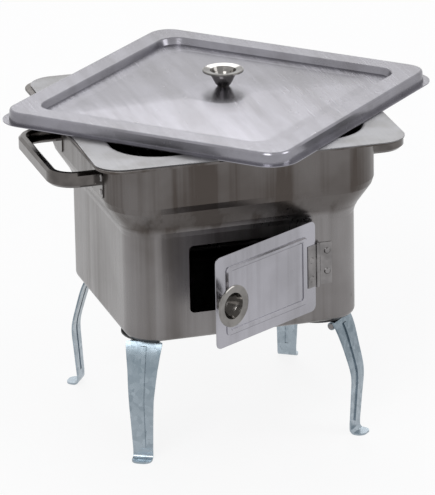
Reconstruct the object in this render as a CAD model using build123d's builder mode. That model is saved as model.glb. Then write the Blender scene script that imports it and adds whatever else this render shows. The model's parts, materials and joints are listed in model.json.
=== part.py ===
# Folding charcoal grill of thin pressed steel sheet, in millimetres, +Z up.
# All pieces are drawn about the body's own middle line and moved together at the end,
# so that the origin is on the floor under the middle of the whole grill. The door faces -Y.
from build123d import *
import math
import os

os.makedirs("parts", exist_ok=True)
pieces = []


def keep(name, piece):
    # Remember a finished piece under the name that its file will have
    pieces.append((name, piece))


# Sheets and small hardware
sheet = 0.9
strap = 2.0
plate_sheet = 1.2
rivet_shank_r = 1.9
rivet_room = 0.1
rivet_hole_r = rivet_shank_r + rivet_room
rivet_head_r = 3.8
rivet_head_h = 1.6
rivet_tail_r = 2.8
rivet_tail_h = 0.8
run_clearance = 0.05

# Body shell, from the bottom up
body_bottom_z = 137.0
body_half = 133.0
body_corner_r = 35.0
body_bottom_fillet = 8.0
shoulder_low_z = 258.0
shoulder_top_z = 300.0
shoulder_out = 21.0
upper_half = body_half + shoulder_out
upper_corner_r = 50.0
rim_w = 20.0
rim_half = upper_half + rim_w
rim_corner_r = 28.0
rim_top_z = 354.0
rim_t = 1.0
rim_hem_w = 2.5
rim_hem_h = 2.4
wall_flat = upper_half - upper_corner_r

# Door opening in the front wall
opening_w = 134.0
opening_z0 = 168.0
opening_h = 78.0
opening_r = 5.5
opening_z1 = opening_z0 + opening_h
opening_mid_z = opening_z0 + opening_h / 2

# Fire pan hanging in the body by its flange
pan_over_rim = 1.0
pan_half = rim_half + pan_over_rim
pan_corner_r = 30.0
pan_flange_t = 1.2
pan_top_z = rim_top_z + pan_flange_t
pan_wall_room = 12.1
pan_wall_half = upper_half - sheet - pan_wall_room
pan_wall_r = 52.0
pan_bottom_room = 12.0
pan_bottom_half = body_half - pan_bottom_room
pan_bottom_r = 40.0
pan_depth = 87.2
pan_bottom_z = pan_top_z - pan_depth
pan_shift = (5.0, 1.3)
pan_turn = -1.4

# Lid, set down turned on the pan flange
lid_over_pan = 1.5
lid_half = pan_half + lid_over_pan
lid_corner_r = 25.0
lid_lip_w = 7.0
lid_h = 13.5
lid_top_z = pan_top_z + lid_h
lid_margin = 26.5
lid_recess_half = lid_half - lid_margin
lid_recess_depth = 7.6
lid_recess_draft = 2.4
lid_recess_r = 22.0
lid_crown = 3.4
lid_shift = (18.3, 30.1)
lid_turn = -46.4

# Cup shaped knob, the same on the lid and the door
knob_rim_r = 23.4
knob_mouth_r = 15.2
knob_base_r = 6.4
knob_h = 20.0
knob_sheet = 1.0
lid_knob_off = (11.9, 18.7)

# Door
door_side_over = 19.5
door_hinge_over = 9.8
door_w = opening_w + door_side_over + door_hinge_over
door_below = 12.6
door_above = 14.2
door_z0 = opening_z0 - door_below
door_z1 = opening_z1 + door_above
door_mid_z = (door_z0 + door_z1) / 2
door_t = 1.0
door_corner_r = 7.0
door_gap = 1.2
door_edge = 3.2
door_open = 31.0
door_axis_x = opening_w / 2 + door_hinge_over + door_edge
bead_from_hinge = 15.0
bead_from_edge = 16.3
bead_from_low = 11.6
bead_from_top = 14.2
bead_w = 6.0
bead_h = 2.4
bead_wall = 0.4
door_knob_from_edge = 6.7
door_knob_up = 1.7

# Door hinge
hinge_r = 2.6
hinge_pin_r = 1.3
hinge_head_r = 2.1
leaf_t = 1.0
leaf_w = 14.0
hinge_len = 48.7
hinge_up = 1.2
hinge_mid_z = opening_mid_z + hinge_up
door_axis_y = -(body_half + door_gap + door_t + leaf_t / 2 + 0.3)
leaf_z0 = hinge_mid_z - hinge_len / 2
leaf_z1 = hinge_mid_z + hinge_len / 2
knuckle_len = hinge_len / 3
body_leaf_x = door_axis_x + 3.6
body_leaf_rivet_x = door_axis_x + 11.5
body_leaf_rivet_z = (hinge_mid_z - 9.5, hinge_mid_z + 14.4)
door_rivet_s = door_edge + 7.4
door_rivet_z = (hinge_mid_z - 14.2, hinge_mid_z + 7.5)

# Legs
foot_in = 8.0
foot_xy = body_half - foot_in
leg_top_w = 41.0
leg_knee_w = 28.0
leg_foot_w = 22.5
foot_len = 15.5
mount_r = 33.0
mount_h = 3.0
bracket_t = 2.0
knuckle_r = 4.6
leg_pin_r = 2.2
leg_pin_x = -20.0
front_left_in = 3.0
plate_z0 = body_bottom_z - mount_h - bracket_t
leg_pin_z = plate_z0 + 0.5 - knuckle_r
leg_top_z = body_bottom_z - mount_h - 1.2
mount_x = leg_pin_x - 26.0
bracket_rivet_x = mount_x - 8.0
bracket_rivet_y = 9.0

# Foot points and the way each leg faces, in degrees from +X
corners = [
    ("front_left", front_left_in - foot_xy, -foot_xy, -120.0),
    ("front_right", foot_xy, -foot_xy, -45.0),
    ("back_left", -foot_xy, foot_xy, 147.0),
    ("back_right", foot_xy, foot_xy, 56.0),
]

# Handles
handle_reach = 52.0
handle_out = upper_half + handle_reach
handle_h = 17.0
handle_t = 11.0
handle_bend = 25.0
handle_wall = 1.2
handle_slot = 9.0
handle_z = 319.5
handle_plate_w = 39.0
handle_plate_h = 30.0
handle_plate_z = handle_z - 3.5
handle_plate_y = wall_flat - handle_plate_w / 2
handle_y = handle_plate_y - 2.5
handle_rivet_y = wall_flat - 6.0
handle_rivet_z = (handle_plate_z - 8.0, handle_plate_z + 8.0)


def bracket_rivet_points(foot_x, foot_y, heading):
    # Where a corner's two rivets pass up into the body bottom
    along = math.radians(heading)
    points = []
    for side in (-1, 1):
        x = foot_x + bracket_rivet_x * math.cos(along) - side * bracket_rivet_y * math.sin(along)
        y = foot_y + bracket_rivet_x * math.sin(along) + side * bracket_rivet_y * math.cos(along)
        points.append((x, y))
    return points


# Body shell: a deep drawn box with a wider upper part and a flat rim
shoulder_shares = [(0, 0), (0.14, 0.07), (0.30, 0.22), (0.67, 0.70), (0.82, 0.89), (1, 1)]
shell_steps = []
for rise_share, out_share in shoulder_shares:
    step_z = shoulder_low_z + rise_share * (shoulder_top_z - shoulder_low_z)
    step_r = body_corner_r + out_share * (upper_corner_r - body_corner_r)
    shell_steps.append((step_z, body_half + out_share * shoulder_out, step_r))

with BuildPart() as shell_outer:
    with BuildSketch(Plane.XY.offset(body_bottom_z)):
        RectangleRounded(2 * body_half, 2 * body_half, body_corner_r)
    extrude(amount=shoulder_low_z - body_bottom_z)
    fillet(shell_outer.faces().sort_by(Axis.Z)[0].edges(), body_bottom_fillet)
    for step_z, step_half, step_r in shell_steps:
        with BuildSketch(Plane.XY.offset(step_z)):
            RectangleRounded(2 * step_half, 2 * step_half, step_r)
    loft(ruled=True)
    with BuildSketch(Plane.XY.offset(shoulder_top_z)):
        RectangleRounded(2 * upper_half, 2 * upper_half, upper_corner_r)
    extrude(amount=rim_top_z - shoulder_top_z)

with BuildPart() as shell_inner:
    with BuildSketch(Plane.XY.offset(body_bottom_z + sheet)):
        RectangleRounded(2 * (body_half - sheet), 2 * (body_half - sheet), body_corner_r - sheet)
    extrude(amount=shoulder_low_z - body_bottom_z - sheet)
    fillet(shell_inner.faces().sort_by(Axis.Z)[0].edges(), body_bottom_fillet - sheet)
    for step_z, step_half, step_r in shell_steps:
        with BuildSketch(Plane.XY.offset(step_z)):
            RectangleRounded(2 * (step_half - sheet), 2 * (step_half - sheet), step_r - sheet)
    loft(ruled=True)
    with BuildSketch(Plane.XY.offset(shoulder_top_z)):
        RectangleRounded(2 * (upper_half - sheet), 2 * (upper_half - sheet), upper_corner_r - sheet)
    extrude(amount=rim_top_z - shoulder_top_z)

with BuildPart() as body_shell:
    add(shell_outer.part)
    with BuildSketch(Plane.XY.offset(rim_top_z - rim_t)):
        RectangleRounded(2 * rim_half, 2 * rim_half, rim_corner_r)
    extrude(amount=rim_t)
    with BuildSketch(Plane.XY.offset(rim_top_z - rim_hem_h)):
        RectangleRounded(2 * rim_half, 2 * rim_half, rim_corner_r)
        hem_in = rim_half - rim_hem_w
        RectangleRounded(2 * hem_in, 2 * hem_in, rim_corner_r - rim_hem_w, mode=Mode.SUBTRACT)
    extrude(amount=rim_hem_h)
    rim_edges = body_shell.edges().filter_by_position(Axis.Z, rim_top_z, rim_top_z)
    chamfer(rim_edges, 0.7)
    add(shell_inner.part, mode=Mode.SUBTRACT)
    with BuildSketch(Plane.XZ.offset(body_half - 20)):
        with Locations((0, opening_mid_z)):
            RectangleRounded(opening_w, opening_h, opening_r)
    extrude(amount=40, mode=Mode.SUBTRACT)
    with BuildSketch(Plane.XZ.offset(body_half - 10)):
        with Locations(*[(body_leaf_rivet_x, z) for z in body_leaf_rivet_z]):
            Circle(rivet_hole_r)
    extrude(amount=20, mode=Mode.SUBTRACT)
    for side in (-1, 1):
        for end in (-1, 1):
            for rivet_z in handle_rivet_z:
                with Locations((side * upper_half, end * handle_rivet_y, rivet_z)):
                    Cylinder(rivet_hole_r, 10, rotation=(0, 90, 0), mode=Mode.SUBTRACT)
    for corner_name, foot_x, foot_y, heading in corners:
        for rivet_x, rivet_y in bracket_rivet_points(foot_x, foot_y, heading):
            with Locations((rivet_x, rivet_y, body_bottom_z)):
                Cylinder(rivet_hole_r, 4, mode=Mode.SUBTRACT)

keep("body_shell", body_shell.part)

# Fire pan: drawn pan with a flat flange, holes in its bottom for the air
pan_low_bend = 7.0
pan_top_bend = 8.0
pan_steps = [
    (pan_bottom_z, pan_bottom_half - 7.0, pan_bottom_r - 7.0),
    (pan_bottom_z + 2.0, pan_bottom_half - 2.0, pan_bottom_r - 2.0),
    (pan_bottom_z + pan_low_bend, pan_bottom_half + 1.0, pan_bottom_r),
    (pan_top_z - pan_top_bend, pan_wall_half, pan_wall_r),
    (pan_top_z - 4.0, pan_wall_half + 1.0, pan_wall_r + 1.0),
    (pan_top_z - pan_flange_t, pan_wall_half + 3.5, pan_wall_r + 3.5),
    (pan_top_z, pan_wall_half + 10.5, pan_wall_r + 8.0),
]
pan_skin = 0.8
pan_hole_r = 6.0
pan_hole_pitch = 60.0

with BuildPart() as pan_outer:
    for step_z, step_half, step_r in pan_steps:
        with BuildSketch(Plane.XY.offset(step_z)):
            RectangleRounded(2 * step_half, 2 * step_half, step_r)
    loft(ruled=True)

with BuildPart() as pan_inner:
    for step_z, step_half, step_r in pan_steps:
        with BuildSketch(Plane.XY.offset(step_z + sheet)):
            RectangleRounded(2 * (step_half - pan_skin), 2 * (step_half - pan_skin), step_r - pan_skin)
    loft(ruled=True)

with BuildPart() as pan_local:
    add(pan_outer.part)
    with BuildSketch(Plane.XY.offset(pan_top_z - pan_flange_t)):
        RectangleRounded(2 * pan_half, 2 * pan_half, pan_corner_r)
    extrude(amount=pan_flange_t)
    add(pan_inner.part, mode=Mode.SUBTRACT)
    with BuildSketch(Plane.XY.offset(pan_bottom_z - 2)):
        with GridLocations(pan_hole_pitch, pan_hole_pitch, 3, 3):
            Circle(pan_hole_r)
    extrude(amount=5, mode=Mode.SUBTRACT)

pan_place = Location((pan_shift[0], pan_shift[1], 0), (0, 0, pan_turn))

with BuildPart() as fire_pan:
    with Locations(pan_place):
        add(pan_local.part)

keep("fire_pan", fire_pan.part)

# Cooking grate: a frame with round bars, resting on the sloped pan wall
grate_below = 35.2
grate_z = pan_top_z - grate_below
grate_wire_r = 2.5
grate_corner_r = 46.0
grate_gap = 0.25
grate_bar_r = 1.75
grate_pitch = 12.2
wall_low_z = pan_bottom_z + pan_low_bend
wall_top_z = pan_top_z - pan_top_bend
grate_share = (grate_z - grate_wire_r - wall_low_z) / (wall_top_z - wall_low_z)
pan_half_there = pan_bottom_half + 1.0 + grate_share * (pan_wall_half - pan_bottom_half - 1.0)
grate_half = pan_half_there - pan_skin - grate_gap - grate_wire_r
grate_side_bars = int((grate_half - 7.0) / grate_pitch)
grate_straight = grate_half - grate_corner_r

with BuildPart() as grate_local:
    ring_out = grate_half + grate_wire_r
    ring_in = grate_half - grate_wire_r
    with BuildSketch(Plane.XY.offset(grate_z - grate_wire_r)):
        RectangleRounded(2 * ring_out, 2 * ring_out, grate_corner_r + grate_wire_r)
        RectangleRounded(2 * ring_in, 2 * ring_in, grate_corner_r - grate_wire_r, mode=Mode.SUBTRACT)
    extrude(amount=2 * grate_wire_r)
    chamfer(grate_local.edges().filter_by(Plane.XY), 1.3)
    for number in range(-grate_side_bars, grate_side_bars + 1):
        bar_x = number * grate_pitch
        over = max(0.0, abs(bar_x) - grate_straight)
        bar_len = 2 * (grate_straight + math.sqrt(grate_corner_r**2 - over**2))
        with Locations((bar_x, 0, grate_z + grate_wire_r + 0.6)):
            Cylinder(grate_bar_r, bar_len, rotation=(90, 0, 0))

with BuildPart() as cooking_grate:
    with Locations(pan_place):
        add(grate_local.part)

keep("cooking_grate", cooking_grate.part)

# Lid: square pressed pan lid with a lip, a short skirt and a sunk middle panel
skirt_half = lid_half + 1.0
lid_panel_z = lid_top_z - lid_recess_depth
lid_lip_half = skirt_half + lid_lip_w
lid_lip_t = 1.0
panel_half = lid_recess_half - lid_recess_draft

with BuildPart() as lid_local:
    with BuildSketch(Plane.XY.offset(pan_top_z)):
        RectangleRounded(2 * skirt_half, 2 * skirt_half, lid_corner_r + 1.0)
    with BuildSketch(Plane.XY.offset(lid_top_z - 2.2)):
        RectangleRounded(2 * lid_half, 2 * lid_half, lid_corner_r)
    with BuildSketch(Plane.XY.offset(lid_top_z - 0.7)):
        RectangleRounded(2 * (lid_half - 0.7), 2 * (lid_half - 0.7), lid_corner_r - 0.7)
    with BuildSketch(Plane.XY.offset(lid_top_z)):
        RectangleRounded(2 * (lid_half - 2.4), 2 * (lid_half - 2.4), lid_corner_r - 2.4)
    loft(ruled=True)
    with BuildSketch(Plane.XY.offset(pan_top_z)):
        RectangleRounded(2 * lid_lip_half, 2 * lid_lip_half, lid_corner_r + lid_lip_w + 1.0)
    extrude(amount=lid_lip_t)
    # Hollow underneath
    with BuildSketch(Plane.XY.offset(pan_top_z - 1)):
        RectangleRounded(2 * (skirt_half - sheet), 2 * (skirt_half - sheet), lid_corner_r)
    with BuildSketch(Plane.XY.offset(lid_top_z - 2.2)):
        RectangleRounded(2 * (lid_half - sheet), 2 * (lid_half - sheet), lid_corner_r - sheet)
    with BuildSketch(Plane.XY.offset(lid_top_z - sheet)):
        RectangleRounded(2 * (lid_half - 2.6), 2 * (lid_half - 2.6), lid_corner_r - 2.6)
    loft(ruled=True, mode=Mode.SUBTRACT)
    # Sunk tray of the middle panel, first its outside
    with BuildSketch(Plane.XY.offset(lid_panel_z - sheet)):
        RectangleRounded(2 * (lid_recess_half - 1.0), 2 * (lid_recess_half - 1.0), lid_recess_r - 1.0)
    with BuildSketch(Plane.XY.offset(lid_top_z - sheet / 2)):
        RectangleRounded(2 * (lid_recess_half + 1.4), 2 * (lid_recess_half + 1.4), lid_recess_r + 1.4)
    loft(ruled=True)
    with BuildSketch(Plane.XY.offset(lid_panel_z)):
        RectangleRounded(2 * panel_half, 2 * panel_half, lid_recess_r - 2.0)
    with BuildSketch(Plane.XY.offset(lid_top_z - 1.0)):
        RectangleRounded(2 * lid_recess_half - 0.6, 2 * lid_recess_half - 0.6, lid_recess_r)
    with BuildSketch(Plane.XY.offset(lid_top_z + 0.01)):
        RectangleRounded(2 * lid_recess_half + 1.4, 2 * lid_recess_half + 1.4, lid_recess_r + 1.0)
    loft(ruled=True, mode=Mode.SUBTRACT)

# The panel rises a little towards its middle, as a stiffened sheet does
crown_half = panel_half - 8.0
crown_top_half = 36.0
lid_knob_z = lid_panel_z + lid_crown

with BuildPart() as lid_crowned:
    add(lid_local.part)
    with BuildSketch(Plane.XY.offset(lid_panel_z - sheet / 2)):
        RectangleRounded(2 * crown_half, 2 * crown_half, lid_recess_r - 2.0)
    with BuildSketch(Plane.XY.offset(lid_knob_z)):
        RectangleRounded(2 * crown_top_half, 2 * crown_top_half, lid_recess_r - 2.0)
    loft(ruled=True)
    with BuildSketch(Plane.XY.offset(lid_panel_z - sheet - 0.01)):
        RectangleRounded(2 * crown_half - 2, 2 * crown_half - 2, lid_recess_r - 2.0)
    with BuildSketch(Plane.XY.offset(lid_knob_z - sheet)):
        RectangleRounded(2 * crown_top_half - 2, 2 * crown_top_half - 2, lid_recess_r - 2.0)
    loft(ruled=True, mode=Mode.SUBTRACT)

lid_knob_place = Location((lid_shift[0] + lid_knob_off[0], lid_shift[1] + lid_knob_off[1], lid_knob_z))

with BuildPart() as lid_pan:
    with Locations(Location((lid_shift[0], lid_shift[1], 0), (0, 0, lid_turn))):
        add(lid_crowned.part)
    with Locations(lid_knob_place):
        Cylinder(rivet_hole_r, 10, mode=Mode.SUBTRACT)

keep("lid_pan", lid_pan.part)

# Stamped cup knob about +Z, its base at z = 0
knob_wall_shares = [(0.18, 0.16), (0.45, 0.38), (0.74, 0.64)]
knob_swell = knob_mouth_r - knob_base_r
cup_outer = [(knob_base_r + a * knob_swell + 0.9, b * knob_h) for a, b in knob_wall_shares]
cup_inner = [(r - knob_sheet, z + 0.5 * knob_sheet) for r, z in reversed(cup_outer)]

with BuildPart() as knob_local:
    with BuildSketch(Plane.XZ):
        with BuildLine():
            Polyline(
                (rivet_hole_r, 0.0),
                (knob_base_r, 0.0),
                *cup_outer,
                (knob_mouth_r, knob_h - 2.0),
                (knob_rim_r - 1.4, knob_h - 0.6),
                (knob_rim_r, knob_h - 1.6),
                (knob_rim_r, knob_h - 0.2),
                (knob_rim_r - 1.2, knob_h + 0.4),
                (knob_mouth_r - 0.4, knob_h - 0.8),
                *cup_inner,
                (knob_base_r - 0.6, knob_sheet),
                (rivet_hole_r, knob_sheet),
                close=True,
            )
        make_face()
    revolve(axis=Axis.Z)

with BuildPart() as lid_knob:
    with Locations(lid_knob_place):
        add(knob_local.part)

keep("lid_knob", lid_knob.part)


# Rivet that holds a knob: head inside the cup, shank through, small tail below
def knob_rivet_profile(grip):
    return [
        (0, -grip - rivet_tail_h),
        (rivet_tail_r, -grip - rivet_tail_h),
        (rivet_tail_r, -grip),
        (rivet_shank_r, -grip),
        (rivet_shank_r, knob_sheet),
        (4.6, knob_sheet),
        (3.6, knob_sheet + 1.8),
        (0, knob_sheet + 2.6),
    ]


with BuildPart() as lid_knob_rivet_local:
    with BuildSketch(Plane.XZ):
        with BuildLine():
            Polyline(*knob_rivet_profile(sheet), close=True)
        make_face()
    revolve(axis=Axis.Z)

with BuildPart() as lid_knob_rivet:
    with Locations(lid_knob_place):
        add(lid_knob_rivet_local.part)

keep("lid_knob_rivet", lid_knob_rivet.part)

# Door in its own frame: the hinge axis at the origin, the sheet towards -X, outside at -Y
door_in_y = abs(door_axis_y) - body_half - door_gap
door_out_y = door_in_y - door_t
bead_x0 = door_edge + bead_from_hinge
bead_x1 = door_edge + door_w - bead_from_edge
bead_z0 = door_z0 + bead_from_low
bead_z1 = door_z1 - bead_from_top
bead_mid = (-(bead_x0 + bead_x1) / 2, (bead_z0 + bead_z1) / 2)
bead_len = bead_x1 - bead_x0
bead_high = bead_z1 - bead_z0
knob_s = door_edge + door_w - door_knob_from_edge
door_knob_z = door_mid_z + door_knob_up

with BuildPart() as door_local:
    with BuildSketch(Plane.XZ.offset(-door_in_y)):
        with Locations((-(door_edge + door_w / 2), door_mid_z)):
            RectangleRounded(door_w, door_z1 - door_z0, door_corner_r)
    extrude(amount=door_t)
    with BuildSketch(Plane.XZ.offset(-door_out_y)):
        with Locations(bead_mid):
            RectangleRounded(bead_len, bead_high, 5)
            RectangleRounded(bead_len - 2 * bead_w, bead_high - 2 * bead_w, 3, mode=Mode.SUBTRACT)
    extrude(amount=bead_h)
    bead_top = door_local.faces().filter_by(Axis.Y).sort_by(Axis.Y)[0]
    chamfer(bead_top.edges(), 1.5)
    with BuildSketch(Plane.XZ.offset(-door_in_y)):
        with Locations(bead_mid):
            RectangleRounded(bead_len - 2.4, bead_high - 2.4, 4)
            hollow_w = bead_w - 1.2
            RectangleRounded(bead_len - 2 * hollow_w, bead_high - 2 * hollow_w, 3, mode=Mode.SUBTRACT)
    extrude(amount=bead_h - bead_wall, mode=Mode.SUBTRACT)
    with BuildSketch(Plane.XZ.offset(-door_in_y - 1)):
        with Locations(*[(-door_rivet_s, z) for z in door_rivet_z]):
            Circle(rivet_hole_r)
        with Locations((-knob_s, door_knob_z)):
            Circle(rivet_hole_r)
    extrude(amount=door_t + 3, mode=Mode.SUBTRACT)

door_place = Location((door_axis_x, door_axis_y, 0), (0, 0, door_open))

with BuildPart() as door_panel:
    with Locations(door_place):
        add(door_local.part)

keep("door_panel", door_panel.part)

door_knob_place = Location((-knob_s, door_out_y, door_knob_z), (90, 0, 0))

with BuildPart() as door_knob:
    with Locations(door_place):
        with Locations(door_knob_place):
            add(knob_local.part)

keep("door_knob", door_knob.part)

with BuildPart() as door_knob_rivet_one:
    with BuildSketch(Plane.XZ):
        with BuildLine():
            Polyline(*knob_rivet_profile(door_t), close=True)
        make_face()
    revolve(axis=Axis.Z)

with BuildPart() as door_knob_rivet:
    with Locations(door_place):
        with Locations(door_knob_place):
            add(door_knob_rivet_one.part)

keep("door_knob_rivet", door_knob_rivet.part)

# Door hinge: two leaves with rolled knuckles on one pin
leaf_end_x = door_axis_x + 3.0 + leaf_w

with BuildPart() as hinge_body_leaf:
    with BuildSketch(Plane.XZ.offset(body_half)):
        with Locations(((body_leaf_x + leaf_end_x) / 2, hinge_mid_z)):
            RectangleRounded(leaf_end_x - body_leaf_x, hinge_len, 0.8)
    extrude(amount=leaf_t)
    for knuckle_z in (leaf_z0, leaf_z1 - knuckle_len):
        with BuildSketch(Plane.XY.offset(knuckle_z)):
            with Locations((door_axis_x, door_axis_y)):
                Circle(hinge_r)
            with BuildLine():
                Polyline(
                    (door_axis_x + 0.4, door_axis_y + hinge_r - 0.1),
                    (body_leaf_x + 1.8, -body_half),
                    (body_leaf_x + 1.8, -body_half - leaf_t),
                    (door_axis_x + 2.0, door_axis_y + hinge_r - 1.3),
                    close=True,
                )
            make_face()
        extrude(amount=knuckle_len)
    with Locations((door_axis_x, door_axis_y, hinge_mid_z)):
        Cylinder(hinge_pin_r + 0.02, hinge_len + 4, mode=Mode.SUBTRACT)
    with BuildSketch(Plane.XZ.offset(body_half - 1)):
        with Locations(*[(body_leaf_rivet_x, z) for z in body_leaf_rivet_z]):
            Circle(rivet_hole_r)
    extrude(amount=4, mode=Mode.SUBTRACT)

keep("hinge_body_leaf", hinge_body_leaf.part)

with BuildPart() as hinge_pin:
    with Locations((door_axis_x, door_axis_y, hinge_mid_z)):
        Cylinder(hinge_pin_r, hinge_len + 1)
    with Locations((door_axis_x, door_axis_y, leaf_z1 + 0.8), (door_axis_x, door_axis_y, leaf_z0 - 0.8)):
        Cylinder(hinge_head_r, 1.6)

keep("hinge_pin", hinge_pin.part)

# Door leaf, on the door's outside and rolled round the pin in the middle
leaf_side_gap = 0.15

with BuildPart() as door_leaf_local:
    with BuildSketch(Plane.XZ.offset(-door_out_y)):
        with Locations((-(door_edge + 6.6), hinge_mid_z)):
            RectangleRounded(leaf_w - 1.0, hinge_len, 0.8)
    extrude(amount=leaf_t)
    with BuildSketch(Plane.XY.offset(leaf_z0 + knuckle_len + leaf_side_gap)):
        Circle(hinge_r)
        with Locations((-(door_edge + 1.0) / 2, door_out_y - leaf_t / 2)):
            Rectangle(door_edge + 1.0, leaf_t)
    extrude(amount=knuckle_len - 2 * leaf_side_gap)
    with Locations((0, 0, hinge_mid_z)):
        Cylinder(hinge_pin_r + run_clearance, hinge_len + 4, mode=Mode.SUBTRACT)
    with BuildSketch(Plane.XZ.offset(-door_out_y - 1)):
        with Locations(*[(-door_rivet_s, z) for z in door_rivet_z]):
            Circle(rivet_hole_r)
    extrude(amount=5, mode=Mode.SUBTRACT)

with BuildPart() as hinge_door_leaf:
    with Locations(door_place):
        add(door_leaf_local.part)

keep("hinge_door_leaf", hinge_door_leaf.part)


# Small domed rivet along +Z: the grip is below its head, and its tail below that
def rivet_profile(grip):
    return [
        (0, -grip - rivet_tail_h),
        (rivet_tail_r, -grip - rivet_tail_h),
        (rivet_tail_r, -grip),
        (rivet_shank_r, -grip),
        (rivet_shank_r, 0),
        (rivet_head_r, 0),
        (rivet_head_r * 0.7, rivet_head_h * 0.8),
        (0, rivet_head_h),
    ]


with BuildPart() as body_leaf_rivet:
    with BuildSketch(Plane.XZ):
        with BuildLine():
            Polyline(*rivet_profile(leaf_t + sheet), close=True)
        make_face()
    revolve(axis=Axis.Z)

with BuildPart() as door_leaf_rivet:
    with BuildSketch(Plane.XZ):
        with BuildLine():
            Polyline(*rivet_profile(leaf_t + door_t), close=True)
        make_face()
    revolve(axis=Axis.Z)

for number, rivet_z in enumerate(body_leaf_rivet_z, 1):
    with BuildPart() as hinge_body_rivet:
        with Locations(Location((body_leaf_rivet_x, -body_half - leaf_t, rivet_z), (90, 0, 0))):
            add(body_leaf_rivet.part)
    keep("hinge_body_rivet_%d" % number, hinge_body_rivet.part)

for number, rivet_z in enumerate(door_rivet_z, 1):
    with BuildPart() as hinge_door_rivet:
        with Locations(door_place):
            with Locations(Location((-door_rivet_s, door_out_y - leaf_t, rivet_z), (90, 0, 0))):
                add(door_leaf_rivet.part)
    keep("hinge_door_rivet_%d" % number, hinge_door_rivet.part)

# Handles: stamped channel bent to a D, on two plates each
handle_path_x = handle_out - handle_t / 2
handle_root_x = upper_half + plate_sheet
handle_cut = 3.0
half_t = handle_t / 2
half_h = handle_h / 2
in_t = half_t - handle_wall
in_h = half_h - handle_wall
in_cut = handle_cut - 0.7
half_slot = handle_slot / 2

with BuildPart() as handle_right:
    with BuildLine() as handle_path:
        FilletPolyline(
            (handle_root_x, -handle_y, handle_z),
            (handle_path_x, -handle_y, handle_z),
            (handle_path_x, handle_y, handle_z),
            (handle_root_x, handle_y, handle_z),
            radius=handle_bend,
        )
    channel_plane = Plane(origin=(handle_root_x, -handle_y, handle_z), x_dir=(0, 1, 0), z_dir=(1, 0, 0))
    with BuildSketch(channel_plane):
        with BuildLine():
            Polyline(
                (half_t, half_slot),
                (half_t, half_h - handle_cut),
                (half_t - handle_cut, half_h),
                (handle_cut - half_t, half_h),
                (-half_t, half_h - handle_cut),
                (-half_t, handle_cut - half_h),
                (handle_cut - half_t, -half_h),
                (half_t - handle_cut, -half_h),
                (half_t, handle_cut - half_h),
                (half_t, -half_slot),
                (in_t, -half_slot),
                (in_t, in_cut - in_h),
                (in_t - in_cut, -in_h),
                (in_cut - in_t, -in_h),
                (-in_t, in_cut - in_h),
                (-in_t, in_h - in_cut),
                (in_cut - in_t, in_h),
                (in_t - in_cut, in_h),
                (in_t, in_h - in_cut),
                (in_t, half_slot),
                close=True,
            )
        make_face()
    sweep(path=handle_path.line)

keep("handle_right", handle_right.part)

with BuildPart() as handle_left:
    mirror(handle_right.part, about=Plane.YZ)

keep("handle_left", handle_left.part)

for end_name, end in (("front", -1), ("back", 1)):
    with BuildPart() as plate_right:
        with BuildSketch(Plane.YZ.offset(upper_half)):
            with Locations((end * handle_plate_y, handle_plate_z)):
                RectangleRounded(handle_plate_w, handle_plate_h, 5)
            with Locations(*[(end * handle_rivet_y, z) for z in handle_rivet_z]):
                Circle(rivet_hole_r, mode=Mode.SUBTRACT)
        extrude(amount=plate_sheet)
    keep("handle_plate_right_" + end_name, plate_right.part)
    with BuildPart() as plate_left:
        mirror(plate_right.part, about=Plane.YZ)
    keep("handle_plate_left_" + end_name, plate_left.part)

# Handle rivets, two through each plate and the wall
with BuildPart() as handle_rivet:
    with BuildSketch(Plane.XZ):
        with BuildLine():
            Polyline(*rivet_profile(plate_sheet + sheet), close=True)
        make_face()
    revolve(axis=Axis.Z)

for side_name, side in (("right", 1), ("left", -1)):
    with BuildPart() as handle_rivets:
        for end in (-1, 1):
            for rivet_z in handle_rivet_z:
                rivet_at = (side * (upper_half + plate_sheet), end * handle_rivet_y, rivet_z)
                with Locations(Location(rivet_at, (0, side * 90, 0))):
                    add(handle_rivet.part)
    keep("handle_rivets_" + side_name, handle_rivets.part)

# Leg: pressed strap with a stiffening rib, two rolled knuckles and a turned foot.
# Its middle line goes from the top down, as a share of the leg's height.
leg_shares = [(-15.8, 1.0), (-12.6, 0.955), (-9.4, 0.897), (-4.2, 0.775), (1.0, 0.64), (3.7, 0.54)]
leg_shares += [(3.9, 0.47), (3.0, 0.38), (1.4, 0.22), (0, 0.09)]
leg_line = [(x, share * leg_top_z) for x, share in leg_shares]


def beside(points, gap):
    # The same line moved sideways by the gap, away from the grill when positive
    moved = []
    for i, (x, z) in enumerate(points):
        x0, z0 = points[max(i - 1, 0)]
        x1, z1 = points[min(i + 1, len(points) - 1)]
        length = math.hypot(x1 - x0, z1 - z0)
        moved.append((x - (z1 - z0) / length * gap, z + (x1 - x0) / length * gap))
    return moved


leg_outer = beside(leg_line, strap / 2)
leg_inner = beside(leg_line, -strap / 2)
bend_in_r = 4.0
bend_c = bend_in_r + strap / 2
bend_z = bend_in_r + strap
bend_out_r = bend_in_r + strap
rib_half = 3.2
rib_h = 1.5
groove_h = 0.9
notch_half = 8.0
knuckle_end = leg_top_w / 2 - 4.0
rib_z0 = 14.0
rib_z1 = leg_top_z - 4.0
mid_45 = math.sin(math.radians(45))

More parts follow.
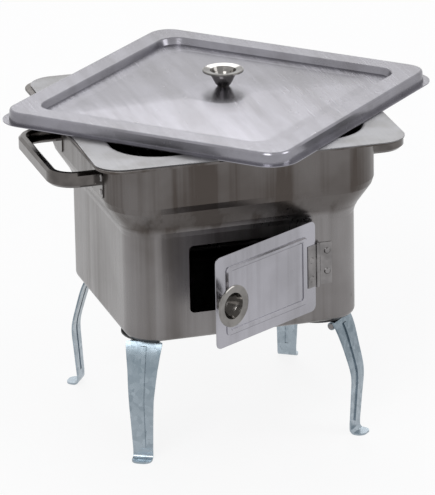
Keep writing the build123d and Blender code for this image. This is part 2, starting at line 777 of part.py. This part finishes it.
with BuildPart() as leg_strap:
    with BuildSketch(Plane.XZ):
        with BuildLine():
            Spline(*leg_outer)
            Line(leg_outer[-1], (strap / 2, bend_z))
            ThreePointArc(
                (strap / 2, bend_z),
                (bend_c - bend_in_r * mid_45, bend_z - bend_in_r * mid_45),
                (bend_c, strap),
            )
            Line((bend_c, strap), (foot_len, strap))
            Line((foot_len, strap), (foot_len, 0))
            Line((foot_len, 0), (bend_c, 0))
            ThreePointArc(
                (bend_c, 0),
                (bend_c - bend_out_r * mid_45, bend_z - bend_out_r * mid_45),
                (-strap / 2, bend_z),
            )
            Line((-strap / 2, bend_z), leg_inner[-1])
            Spline(*reversed(leg_inner))
            Line(leg_inner[0], leg_outer[0])
        make_face()
    extrude(amount=leg_top_w / 2, both=True)
    right_side = [
        (leg_foot_w / 2, -1),
        (leg_foot_w / 2, 0.09 * leg_top_z),
        (leg_foot_w / 2 + 1.3, 0.32 * leg_top_z),
        (leg_knee_w / 2, 0.53 * leg_top_z),
        (leg_knee_w / 2 + 2.8, 0.77 * leg_top_z),
        (leg_top_w / 2 - 1.2, 0.91 * leg_top_z),
        (leg_top_w / 2, 0.98 * leg_top_z),
        (leg_top_w / 2, leg_top_z + 8),
    ]
    left_side = [(-y, z) for y, z in reversed(right_side)]
    with BuildSketch(Plane.YZ.offset(-40)):
        with BuildLine():
            Polyline(*right_side, *left_side, close=True)
        make_face()
    extrude(amount=80, mode=Mode.INTERSECT)
    toe_edges = leg_strap.edges().filter_by(Axis.Z).sort_by(Axis.X)[-2:]
    fillet(toe_edges, 0.38 * leg_foot_w)

with BuildPart() as leg_rib:
    with Locations((rib_h, 0, 0)):
        add(leg_strap.part)
    with Locations((0, 0, (rib_z0 + rib_z1) / 2)):
        Box(80, 2 * rib_half, rib_z1 - rib_z0, mode=Mode.INTERSECT)

with BuildPart() as leg_groove:
    with Locations((-groove_h, 0, 0)):
        add(leg_strap.part)
    with Locations((0, 0, (rib_z0 + rib_z1) / 2)):
        Box(80, 2 * rib_half - 2, rib_z1 - rib_z0 - 4, mode=Mode.INTERSECT)

with BuildPart() as leg_local:
    add(leg_strap.part)
    add(leg_rib.part)
    add(leg_groove.part, mode=Mode.SUBTRACT)
    for knuckle_y in (-knuckle_end, notch_half):
        with BuildSketch(Plane.XZ.offset(-knuckle_y - (knuckle_end - notch_half))):
            with Locations((leg_pin_x, leg_pin_z)):
                Circle(knuckle_r)
            with Locations((leg_pin_x + 2.3, leg_pin_z + knuckle_r - 1.2)):
                Rectangle(4.6, 2.4)
        extrude(amount=knuckle_end - notch_half)
    with Locations((leg_pin_x, 0, leg_pin_z)):
        Cylinder(leg_pin_r + run_clearance, leg_top_w + 4, rotation=(90, 0, 0), mode=Mode.SUBTRACT)

# Bracket under the round mount: plate, tongue and the middle knuckle
bracket_w = 40.0
bracket_len = 32.0
tongue_half = notch_half - 0.6
bracket_mid_x = mount_x - 2.0
tongue_in_x = bracket_mid_x + 12.0

with BuildPart() as bracket_local:
    with BuildSketch(Plane.XY.offset(plate_z0)):
        with Locations((bracket_mid_x, 0)):
            RectangleRounded(bracket_len, bracket_w, 5)
        with Locations(((leg_pin_x + tongue_in_x) / 2, 0)):
            Rectangle(leg_pin_x - tongue_in_x, 2 * tongue_half)
        with Locations((bracket_rivet_x, bracket_rivet_y), (bracket_rivet_x, -bracket_rivet_y)):
            Circle(rivet_hole_r, mode=Mode.SUBTRACT)
    extrude(amount=bracket_t)
    with BuildSketch(Plane.XZ):
        with Locations((leg_pin_x, leg_pin_z)):
            Circle(knuckle_r)
        with Locations((leg_pin_x - 1.5, (leg_pin_z + plate_z0 + bracket_t) / 2)):
            Rectangle(3.0, plate_z0 + bracket_t - leg_pin_z)
    extrude(amount=tongue_half, both=True)
    with Locations((leg_pin_x, 0, leg_pin_z)):
        Cylinder(leg_pin_r + 0.02, leg_top_w, rotation=(90, 0, 0), mode=Mode.SUBTRACT)

with BuildPart() as pin_local:
    with Locations((leg_pin_x, 0, leg_pin_z)):
        Cylinder(leg_pin_r, 2 * knuckle_end + 0.6, rotation=(90, 0, 0))
    for end in (-1, 1):
        with Locations((leg_pin_x, end * (knuckle_end + 1.0), leg_pin_z)):
            Cylinder(leg_pin_r + 1.1, 1.4, rotation=(90, 0, 0))

with BuildPart() as mount_local:
    with BuildSketch(Plane.XY.offset(body_bottom_z - mount_h)):
        with Locations((mount_x, 0)):
            Circle(mount_r)
    extrude(amount=mount_h)
    chamfer(mount_local.faces().sort_by(Axis.Z)[0].edges(), 1.0)
    with BuildSketch(Plane.XY.offset(body_bottom_z - mount_h)):
        with Locations((bracket_rivet_x, bracket_rivet_y), (bracket_rivet_x, -bracket_rivet_y)):
            Circle(rivet_hole_r)
    extrude(amount=mount_h, mode=Mode.SUBTRACT)

with BuildPart() as bracket_rivet:
    with BuildSketch(Plane.XZ):
        with BuildLine():
            Polyline(*rivet_profile(bracket_t + mount_h + sheet), close=True)
        make_face()
    revolve(axis=Axis.Z)

# Each corner's set stands on its own foot point and faces its own way
for corner_name, foot_x, foot_y, heading in corners:
    corner_place = Location((foot_x, foot_y, 0), (0, 0, heading))
    with BuildPart() as leg:
        with Locations(corner_place):
            add(leg_local.part)
    keep("leg_" + corner_name, leg.part)
    with BuildPart() as leg_mount:
        with Locations(corner_place):
            add(mount_local.part)
    keep("leg_mount_" + corner_name, leg_mount.part)
    with BuildPart() as leg_bracket:
        with Locations(corner_place):
            add(bracket_local.part)
    keep("leg_bracket_" + corner_name, leg_bracket.part)
    with BuildPart() as leg_pin:
        with Locations(corner_place):
            add(pin_local.part)
    keep("leg_pin_" + corner_name, leg_pin.part)
    with BuildPart() as leg_rivets:
        for rivet_x, rivet_y in bracket_rivet_points(foot_x, foot_y, heading):
            with Locations(Location((rivet_x, rivet_y, plate_z0), (180, 0, 0))):
                add(bracket_rivet.part)
    keep("leg_rivets_" + corner_name, leg_rivets.part)

# Move everything so that the origin lies under the middle of the whole grill
boxes = [piece.bounding_box() for name, piece in pieces]
middle_x = (min(b.min.X for b in boxes) + max(b.max.X for b in boxes)) / 2
middle_y = (min(b.min.Y for b in boxes) + max(b.max.Y for b in boxes)) / 2
print("the body's middle line is at", round(-middle_x, 3), round(-middle_y, 3))

for name, piece in pieces:
    placed = piece.moved(Location((-middle_x, -middle_y, 0)))
    placed.label = name
    export_step(placed, "parts/%s.step" % name)
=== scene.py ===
# %% [markdown]
# # A folding charcoal grill of pressed steel sheet
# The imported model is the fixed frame, and every length and place comes from it. Each part of the
# grill keeps its CAD shape here. This lesson dresses those shapes: it gives the sheet metal its
# brushing, bloom and soot, sets the camera where the photograph was taken and builds a plain studio.

# %% Load the frame and keep its box
import bpy
import json
import math
from mathutils import Matrix, Vector

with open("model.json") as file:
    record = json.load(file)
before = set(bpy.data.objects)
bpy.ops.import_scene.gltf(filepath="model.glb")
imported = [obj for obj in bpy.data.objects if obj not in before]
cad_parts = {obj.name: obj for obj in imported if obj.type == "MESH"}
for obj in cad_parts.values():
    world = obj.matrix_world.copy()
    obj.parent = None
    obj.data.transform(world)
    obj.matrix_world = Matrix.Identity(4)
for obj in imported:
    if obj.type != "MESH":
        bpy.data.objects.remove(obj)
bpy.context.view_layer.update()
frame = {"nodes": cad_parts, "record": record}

# %% [markdown]
# A material is a small graph of nodes. Writing `noise * 0.2 + 0.5` is easier to read than a list of
# Math nodes, so one class wraps a socket and turns each operator into its node. Colours go through
# Mix instead, since a Math node would turn them grey.


# %% A socket that can be written as arithmetic
class Wire:
    def __init__(self, shader, socket):
        self.shader = shader
        self.socket = socket

    def _math(self, operation, first, second):
        return self.shader.node("ShaderNodeMath", {"operation": operation}, {0: first, 1: second})

    def __add__(self, other):
        return self._math("ADD", self, other)

    __radd__ = __add__

    def __mul__(self, other):
        return self._math("MULTIPLY", self, other)

    __rmul__ = __mul__

    def __sub__(self, other):
        return self._math("SUBTRACT", self, other)

    def __rsub__(self, other):
        return self._math("SUBTRACT", other, self)

    def larger(self, other):
        return self._math("MAXIMUM", self, other)

    def smaller(self, other):
        return self._math("MINIMUM", self, other)


print("sockets can be added, multiplied and compared")

# %% [markdown]
# Every finish below asks for the same few things: a noise with a grain direction, a soft band
# between two values, a mix of two colours and a bump. They are methods of one class, which works
# on a material and on the world alike, since both hold a node tree.


# %% A node graph that grows step by step
class Shader:
    def __init__(self, owner, surface="Principled BSDF"):
        owner.use_nodes = True
        self.owner = owner
        self.tree = owner.node_tree
        self.surface = self.tree.nodes[surface]

    def node(self, kind, settings=None, values=None, out=0):
        made = self.tree.nodes.new(kind)
        for key, value in (settings or {}).items():
            setattr(made, key, value)
        for key, value in (values or {}).items():
            self.feed(made.inputs[key], value)
        return Wire(self, made.outputs[out])

    def feed(self, socket, value):
        if isinstance(value, Wire):
            self.tree.links.new(value.socket, socket)
        else:
            socket.default_value = value

    def place(self):
        return self.node("ShaderNodeTexCoord", out="Object")

    def axis(self, letter):
        return self.node("ShaderNodeSeparateXYZ", {}, {0: self.place()}, out=letter)

    def noise(self, scale, detail=3.0, stretch=(1, 1, 1), rough=0.5, turn=(0, 0, 0)):
        mapping = {"Vector": self.place(), "Scale": stretch, "Rotation": turn}
        where = self.node("ShaderNodeMapping", {}, mapping)
        values = {"Vector": where, "Scale": scale, "Detail": detail, "Roughness": rough}
        return self.node("ShaderNodeTexNoise", {"noise_dimensions": "3D"}, values)

    def band(self, value, low, high, to_low=0.0, to_high=1.0):
        values = {
            "Value": value,
            "From Min": low,
            "From Max": high,
            "To Min": to_low,
            "To Max": to_high,
        }
        return self.node("ShaderNodeMapRange", {"interpolation_type": "SMOOTHSTEP"}, values)

    def mix(self, share, first, second):
        made = self.tree.nodes.new("ShaderNodeMix")
        made.data_type = "RGBA"
        self.feed(made.inputs["Factor"], share)
        colour_inputs = [s for s in made.inputs if s.type == "RGBA"]
        self.feed(colour_inputs[0], first)
        self.feed(colour_inputs[1], second)
        return Wire(self, [s for s in made.outputs if s.type == "RGBA"][0])

    def bump(self, height, strength, distance):
        values = {"Height": height, "Strength": strength, "Distance": distance}
        return self.node("ShaderNodeBump", {}, values)

    def white_rays(self):
        camera_ray = self.node("ShaderNodeLightPath", out="Is Camera Ray")
        glossy_ray = self.node("ShaderNodeLightPath", out="Is Glossy Ray")
        clear_ray = self.node("ShaderNodeLightPath", out="Is Transmission Ray")
        return camera_ray.larger(glossy_ray).larger(clear_ray)

    def finish(self, **inputs):
        for name, value in inputs.items():
            self.feed(self.surface.inputs[name.replace("_", " ")], value)
        return self.owner


print("shader helper ready")

# %% [markdown]
# The body is raw sheet that was brushed up and down before it was pressed. Up close it has fine
# lines, further off it has brown tarnish where heat and hands met it, and its wide top is painted
# darker as a painted dark reflection.
# The brushing is noise squeezed along one axis. The tarnish is a slow cloud mixed towards brown.
# An image of brushed steel could do the same, but noise follows the part at any size.


# %% Brushed sheet
brush_scale = 420.0
streak_scale = 46.0
cloud_scale = 7.0
speck_scale = 90.0
speck_brown = (0.10, 0.085, 0.075, 1)


def brushed_sheet(name, bright, dull, stretch, rough, bloom, bump, turn=(0, 0, 0), painted_dark_top=None):
    s = Shader(bpy.data.materials.new(name))
    grain = s.noise(brush_scale, 3.0, stretch, 0.6, turn)
    streak = s.noise(streak_scale, 4.0, stretch, 0.55, turn)
    cloud = s.noise(cloud_scale, 4.0, (1, 1, 1), 0.55)
    specks = s.noise(speck_scale, 2.0, (1, 1, 0.6), 0.5)
    mark = s.band(specks, 0.72, 0.80)
    tarnish_and_painted_dark_top = s.band(cloud, 0.38, 0.68) * bloom + s.band(streak, 0.40, 0.70) * 0.45
    # The body's top is darkened above its shoulder: a painted dark reflection of the surroundings.
    if painted_dark_top:
        low, high, share = painted_dark_top
        tarnish_and_painted_dark_top = tarnish_and_painted_dark_top + s.band(s.axis("Z"), low, high) * share
    colour = s.mix(tarnish_and_painted_dark_top.smaller(1.0), bright, dull)
    colour = s.mix(mark * 0.2, colour, speck_brown)
    roughness = rough + (grain - 0.5) * 0.16 + (cloud - 0.5) * 0.12 + mark * 0.15
    normal = s.bump(grain * 0.7 + streak * 0.3, bump, 0.0006)
    return s.finish(Base_Color=colour, Metallic=1.0, Roughness=roughness, Normal=normal)


print("lines of brushing per metre:", brush_scale)

# %% [markdown]
# Three sheets share that finish. The body's top is painted darker, a painted dark reflection of the
# surroundings, which sets in over 10 mm where its shoulder ends. The lid is brushed across, and it
# is turned on the body, so its brushing turns with it. The door is the brightest and the smoothest
# of the three.

# %% Body, lid and door sheet
# From these heights up the body's top is darkened: a painted dark reflection.
shoulder_top = 0.262
dark_from = 0.272
dark_share = 0.55
lid_turn = math.radians(-46.4)
body_sheet = brushed_sheet(
    "body_sheet", (0.235, 0.225, 0.225, 1), (0.075, 0.064, 0.058, 1), (1.0, 1.0, 0.02),
    rough=0.30, bloom=0.30, bump=0.12, painted_dark_top=(shoulder_top, dark_from, dark_share),
)
lid_sheet = brushed_sheet(
    "lid_sheet", (0.27, 0.265, 0.295, 1), (0.18, 0.175, 0.19, 1), (1, 0.05, 1),
    rough=0.24, bloom=0.5, bump=0.05, turn=(0, 0, lid_turn),
)
door_sheet = brushed_sheet(
    "door_sheet", (0.40, 0.395, 0.43, 1), (0.24, 0.235, 0.25, 1), (1, 1, 0.05),
    rough=0.20, bloom=0.5, bump=0.05,
)
print("sheet materials:", body_sheet.name, lid_sheet.name, door_sheet.name)

# %% [markdown]
# The fire pan is the same sheet on its flange, but its inside is painted near black: painted shade
# under the lid.
# Two materials would need the mesh cut in two. One material does both here: the height above the
# floor says where the flange ends, and a little noise breaks up the line.

# %% Fire pan: bright flange, inside painted black as shade
shade_full_below = 0.3530
shade_none_above = 0.3544


def pan_finish():
    s = Shader(bpy.data.materials.new("pan_sheet_and_painted_shade"))
    height = s.axis("Z")
    cloud = s.noise(30.0, 4.0)
    grain = s.noise(300.0, 3.0, (1, 0.05, 1))
    inner_mottle = s.noise(240.0, 5.0, (1, 1, 1), 0.7)
    # Below the flange the pan is painted near black: painted shade under the lid.
    painted_shade = s.band(height + (cloud - 0.5) * 0.002, shade_full_below, shade_none_above, 1.0, 0.0)
    clouding = s.band(cloud, 0.35, 0.7) * 0.6
    steel = s.mix(clouding, (0.20, 0.20, 0.21, 1), (0.11, 0.105, 0.10, 1))
    inner_mottling = s.band(inner_mottle, 0.4, 0.7)
    black = s.mix(inner_mottling, (0.012, 0.011, 0.011, 1), (0.03, 0.028, 0.027, 1))
    bare = (0.34 + (grain - 0.5) * 0.15) * (1 - painted_shade)
    roughness = bare + painted_shade * (0.75 + (inner_mottle - 0.5) * 0.3)
    normal = s.bump(inner_mottle * painted_shade + grain * 0.2, 0.15, 0.0008)
    colour = s.mix(painted_shade, steel, black)
    return s.finish(Base_Color=colour, Metallic=1 - painted_shade, Roughness=roughness, Normal=normal)


pan_sheet = pan_finish()
# The painted shade inside the pan ends between these two heights.
print("pan material:", pan_sheet.name, "soot ends between", shade_full_below, "and", shade_none_above, "m")

# %% [markdown]
# The legs are galvanised strip. Zinc freezes in flat crystals, the spangle, each with its own
# grey, so the colour of a Voronoi cell moves the tone a little from cell to cell. The top half
# of each leg is painted darker, a painted reflection of the dark body above it.

# %% Galvanised strip
spangle_scale = 190.0
painted_reflection_from = 0.045
painted_reflection_to = 0.125


def galvanised():
    s = Shader(bpy.data.materials.new("galvanised_strip"))
    where = {"Vector": s.place(), "Scale": spangle_scale}
    cells = s.node("ShaderNodeTexVoronoi", {"feature": "F1"}, where, out="Color")
    tone = s.node("ShaderNodeRGBToBW", {}, {0: cells})
    drift = s.noise(24.0, 4.0)
    draw = s.noise(300.0, 2.0, (1, 1, 0.04))
    # The top half of each leg is painted darker: a painted reflection of the dark body above it.
    painted_reflection = s.band(s.axis("Z"), painted_reflection_from, painted_reflection_to) * 0.45
    share = (tone * 0.4 + drift * 0.25 + painted_reflection).smaller(1.0)
    colour = s.mix(share, (0.42, 0.48, 0.53, 1), (0.14, 0.18, 0.21, 1))
    roughness = 0.24 + tone * 0.10 + (draw - 0.5) * 0.12
    normal = s.bump(draw * 0.5 + tone * 0.2, 0.08, 0.0005)
    return s.finish(Base_Color=colour, Metallic=1.0, Roughness=roughness, Normal=normal)


zinc_strip = galvanised()
print("leg material:", zinc_strip.name)

# %% [markdown]
# Knobs, grips, rivets and hinge leaves are small bright stampings. They have no clear brushing,
# only faint smears from handling. One function makes all four, and each gets its own tone and
# its own roughness.


# %% Polished small parts
def polished(name, tone, rough):
    s = Shader(bpy.data.materials.new(name))
    cloud = s.noise(60.0, 4.0)
    grain = s.noise(700.0, 2.0)
    smeared = tuple(v * 0.72 for v in tone[:3]) + (1,)
    colour = s.mix(s.band(cloud, 0.35, 0.7), tone, smeared)
    roughness = rough + (cloud - 0.4) * 0.1 + (grain - 0.5) * 0.05
    normal = s.bump(cloud, 0.04, 0.0006)
    return s.finish(Base_Color=colour, Metallic=1.0, Roughness=roughness, Normal=normal)


knob_metal = polished("knob_metal", (0.24, 0.23, 0.22, 1), 0.12)
grip_metal = polished("grip_metal", (0.13, 0.12, 0.115, 1), 0.14)
rivet_metal = polished("rivet_metal", (0.27, 0.26, 0.26, 1), 0.24)
hinge_metal = polished("hinge_metal", (0.25, 0.24, 0.24, 1), 0.28)
print("polished:", knob_metal.name, grip_metal.name, rivet_metal.name, hinge_metal.name)

# %% [markdown]
# The leg mounts are near black, and the wire of the grate is painted black as painted shade under
# the lid. Neither shines like metal, so both are plain rough surfaces whose black is never quite
# even.


# %% Black mounts and wire painted black as shade
def matt(name, low, high, rough, scale):
    s = Shader(bpy.data.materials.new(name))
    cloud = s.noise(scale, 5.0)
    fine = s.noise(scale * 9, 3.0)
    roughness = rough + (fine - 0.5) * 0.3
    normal = s.bump(fine, 0.2, 0.0004)
    colour = s.mix(cloud, low, high)
    return s.finish(Base_Color=colour, Metallic=0.0, Roughness=roughness, Normal=normal)


mount_black = matt("mount_black", (0.010, 0.010, 0.011, 1), (0.03, 0.03, 0.032, 1), 0.5, 60.0)
# The grate wire is painted near black: painted shade under the lid.
wire_black = matt("wire_black", (0.014, 0.013, 0.012, 1), (0.05, 0.045, 0.04, 1), 0.6, 90.0)
print("matt:", mount_black.name, wire_black.name)

# %% [markdown]
# The record names a material slot for each part. Going through that list dresses every node
# without a list of parts here, so a part that is added to the model later gets its finish too.

# %% Put each material on its nodes
by_slot = {
    "body_steel": body_sheet,
    "lid_steel": lid_sheet,
    "door_steel": door_sheet,
    "pan_steel": pan_sheet,
    "leg_galvanised": zinc_strip,
    "knob_steel": knob_metal,
    "handle_steel": grip_metal,
    "rivet_steel": rivet_metal,
    "hinge_steel": hinge_metal,
    "mount_black": mount_black,
    "grate_steel": wire_black,
}
for entry in frame["record"]["subparts"]:
    node = frame["nodes"][entry["node"]]
    for slot in node.material_slots:
        slot.material = by_slot[entry["material_slot"]]
print("nodes dressed:", len(frame["nodes"]))

# %% [markdown]
# The camera stands where the photograph was taken from: in front, a little to the left, about
# five and a half metres off with a long lens. The straight edges of the grill gave its angles.
# Its roll and shift set the photograph's framing.

# %% Camera at the photograph's angle
photo_w = 435.0
photo_h = 495.0
optical_middle = (212.8, 240.6)
azimuth = math.radians(16.56)
elevation = math.radians(19.61)
roll = math.radians(-1.08)
distance = 5.415
focal_px = 4813.0
sensor_mm = 36.0
aim = Vector((-0.0183, -0.015324, 0.2))
forward = Vector((
    math.sin(azimuth) * math.cos(elevation),
    math.cos(azimuth) * math.cos(elevation),
    -math.sin(elevation),
))
flat_right = Vector((math.cos(azimuth), -math.sin(azimuth), 0.0))
flat_up = flat_right.cross(forward)
right = flat_right * math.cos(roll) + flat_up * math.sin(roll)
up = flat_up * math.cos(roll) - flat_right * math.sin(roll)
lens = bpy.data.cameras.new("photo_camera")
lens.sensor_fit = "HORIZONTAL"
lens.sensor_width = sensor_mm
lens.lens = focal_px * sensor_mm / photo_w
lens.shift_x = (photo_w / 2 - optical_middle[0]) / photo_w
lens.shift_y = (optical_middle[1] - photo_h / 2) / photo_w
lens.clip_end = 50.0
camera = bpy.data.objects.new("photo_camera", lens)
bpy.context.scene.collection.objects.link(camera)
turn = Matrix((right, up, -forward)).transposed().to_4x4()
camera.matrix_world = Matrix.Translation(aim - forward * distance) @ turn
bpy.context.scene.camera = camera
print("lens in mm:", round(lens.lens, 1))

# %% [markdown]
# The floor is pale and shows almost white. Brighter lamps would do that too, but they would
# bleach the metal. So the camera, and the metal's reflections, see a share of plain white in the
# floor's material, and the rest is the lit floor, which keeps a faint shadow.

# %% Floor
floor_half = 6.0
floor_z = -0.0005
white_share = 0.85
corners = [(-1, -1), (1, -1), (1, 1), (-1, 1)]
floor_mesh = bpy.data.meshes.new("studio_floor")
floor_points = [(x * floor_half, y * floor_half, floor_z) for x, y in corners]
floor_mesh.from_pydata(floor_points, [], [(0, 1, 2, 3)])
floor = bpy.data.objects.new("studio_floor", floor_mesh)
bpy.context.scene.collection.objects.link(floor)


def floor_finish():
    s = Shader(bpy.data.materials.new("studio_floor"))
    grain = s.noise(30.0, 2.0)
    colour = s.mix(grain, (0.93, 0.93, 0.93, 1), (0.96, 0.96, 0.96, 1))
    white = s.node("ShaderNodeEmission", {}, {"Color": (1, 1, 1, 1), "Strength": 1.0})
    lit = Wire(s, s.surface.outputs[0])
    layers = {0: s.white_rays() * white_share, 1: lit, 2: white}
    both = s.node("ShaderNodeMixShader", {}, layers)
    s.feed(s.tree.nodes["Material Output"].inputs["Surface"], both)
    return s.finish(Base_Color=colour, Roughness=0.9, Metallic=0.0)


floor_mesh.materials.append(floor_finish())
print("floor side in metres:", 2 * floor_half)

# %% [markdown]
# The surround is the world. It shows white to the camera and in reflections, as a white studio
# does, and lights the object at half that level, so that the metal keeps its colour.

# %% Surround
world = bpy.data.worlds.new("studio_surround")
bpy.context.scene.world = world
surround = Shader(world, "Background")
surround.finish(Color=surround.mix(surround.white_rays(), (0.5, 0.5, 0.52, 1), (1, 1, 1, 1)))
print("world:", world.name)

# %% [markdown]
# Three broad lamps do the rest: a key from the front left, a weaker fill from the right and one
# behind, which draws a light line on the back edges. Broad lamps give soft shadows and wide
# highlights on the bends.


# %% Lamps
def lamp(name, place, toward, size, power):
    data = bpy.data.lights.new(name, "AREA")
    data.shape = "RECTANGLE"
    data.size = size[0]
    data.size_y = size[1]
    data.energy = power
    made = bpy.data.objects.new(name, data)
    bpy.context.scene.collection.objects.link(made)
    made.location = place
    made.rotation_euler = (Vector(toward) - Vector(place)).to_track_quat("-Z", "Y").to_euler()


lamp("key_soft", (-1.6, -2.2, 2.4), (0, 0, 0.2), (1.6, 1.6), 40.0)
lamp("fill_soft", (2.2, -1.4, 1.2), (0, 0, 0.2), (1.4, 1.4), 16.0)
lamp("back_soft", (0.5, 2.2, 2.0), (0, 0, 0.3), (1.6, 1.0), 20.0)
bpy.context.scene.view_settings.view_transform = "Standard"
print("lamps:", len(bpy.data.lights))
